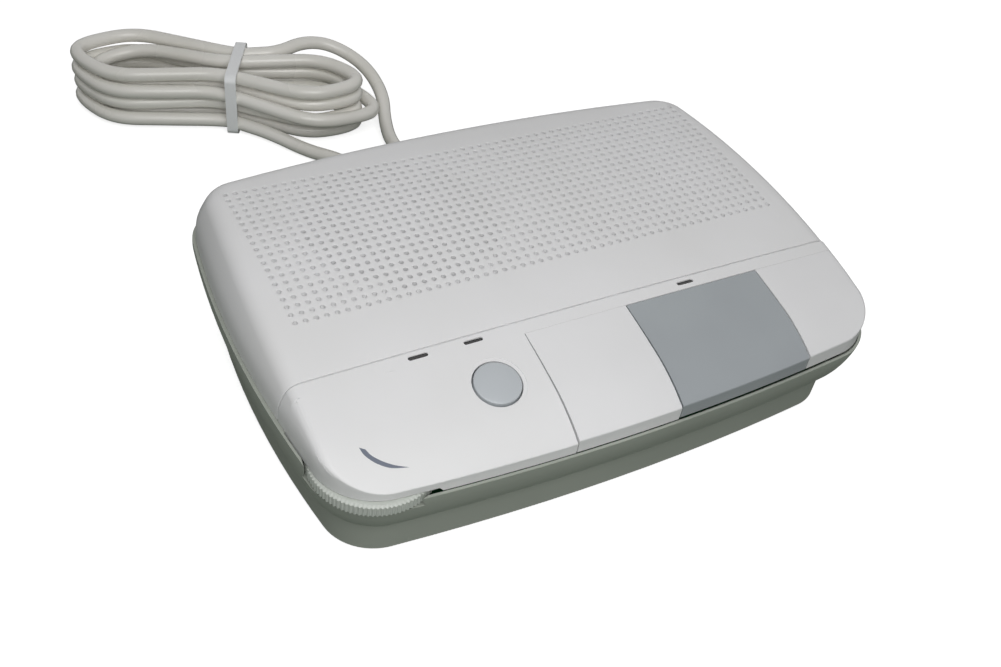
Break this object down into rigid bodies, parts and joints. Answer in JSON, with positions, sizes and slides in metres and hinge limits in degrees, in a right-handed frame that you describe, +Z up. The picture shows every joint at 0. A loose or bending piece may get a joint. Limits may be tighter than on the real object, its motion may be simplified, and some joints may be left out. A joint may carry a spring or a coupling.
{
  "type": "desk intercom",
  "caption": "Low wedge-shaped desk intercom with a round speaker grille, hinged keys, a round hold button, a volume thumbwheel and a tied hank of phone-line cord.",
  "frame": {"origin": "on the table, under the middle of the case at its parting line", "axes": "+Z up, -Y out of the front with the keys, +X to the user's right"},
  "size_m": [0.1716, 0.2531, 0.0457],
  "materials": {
    "case_plastic": "satin moulded ABS",
    "key_plastic": "satin moulded ABS",
    "talk_plastic": "satin moulded ABS",
    "button_plastic": "satin moulded ABS",
    "wheel_plastic": "ribbed moulded ABS",
    "lens_plastic": "polished",
    "led_epoxy": "diffused epoxy",
    "board_laminate": "solder mask",
    "component_plastic": "moulded",
    "can_sleeve": "shrunk sleeve",
    "relay_plastic": "moulded",
    "core_steel": "varnished laminations",
    "pressed_steel": "zinc plated",
    "spring_steel": "plain",
    "ferrite": "ground ferrite",
    "cone_paper": "pressed paper",
    "foot_rubber": "matte",
    "cord_vinyl": "soft gloss vinyl",
    "tie_plastic": "translucent nylon",
    "plug_plastic": "clear polycarbonate"
  },
  "bodies": {
    "case": {"top_case": "case_plastic", "control_bezel": "case_plastic", "bottom_case": "case_plastic", "key_hinge_rod": "spring_steel", "lock_spring": "spring_steel", "talk_spring": "spring_steel", "call_spring": "spring_steel", "hold_spring": "spring_steel", "indicator_lenses": "lens_plastic", "indicator_leds": "led_epoxy", "switch_board": "board_laminate", "key_switches": "component_plastic", "volume_potentiometer": "component_plastic", "main_board": "board_laminate", "line_transformer": "core_steel", "capacitors": "can_sleeve", "amplifier_ic": "component_plastic", "hold_relay": "relay_plastic", "board_screws": "pressed_steel", "bezel_screws": "pressed_steel", "case_screws": "pressed_steel", "clamp_screws": "pressed_steel", "speaker_frame": "pressed_steel", "speaker_cone": "cone_paper", "speaker_magnet": "ferrite", "speaker_clamps": "pressed_steel", "rubber_feet": "foot_rubber", "strain_relief": "cord_vinyl", "line_cord": "cord_vinyl", "cord_hank": "cord_vinyl", "cord_tail": "cord_vinyl", "cord_tie": "tie_plastic", "modular_plug": "plug_plastic"},
    "lock_key": {"lock_key": "key_plastic"},
    "talk_key": {"talk_key": "talk_plastic"},
    "call_key": {"call_key": "key_plastic"},
    "hold_button": {"hold_button": "button_plastic"},
    "volume_wheel": {"volume_wheel": "wheel_plastic"}
  },
  "joints": [
    {"name": "lock_press", "type": "hinge", "parent": "case", "child": "lock_key", "pos_m": [0.03, -0.03122, 0.03317], "axis": [1, 0, 0], "range_deg": [0, 3], "stiffness_Nm_per_rad": 0.35, "springref_deg": -2.01, "deforming": ["lock_spring"]},
    {"name": "talk_press", "type": "hinge", "parent": "case", "child": "talk_key", "pos_m": [0.03, -0.03122, 0.03317], "axis": [1, 0, 0], "range_deg": [0, 3], "stiffness_Nm_per_rad": 0.35, "springref_deg": -2.01, "deforming": ["talk_spring"]},
    {"name": "call_press", "type": "hinge", "parent": "case", "child": "call_key", "pos_m": [0.03, -0.03122, 0.03317], "axis": [1, 0, 0], "range_deg": [0, 3], "stiffness_Nm_per_rad": 0.35, "springref_deg": -2.01, "deforming": ["call_spring"]},
    {"name": "hold_press", "type": "slide", "parent": "case", "child": "hold_button", "axis": [0, 0.2299, -0.9732], "range_m": [0, 0.0015], "stiffness_N_per_m": 600, "springref_m": -0.001, "deforming": ["hold_spring"]},
    {"name": "volume_turn", "type": "hinge", "parent": "case", "child": "volume_wheel", "pos_m": [-0.066, -0.04179, 0.02461], "axis": [0, -0.0523, 0.9986], "range_deg": [-140, 140]}
  ]
}
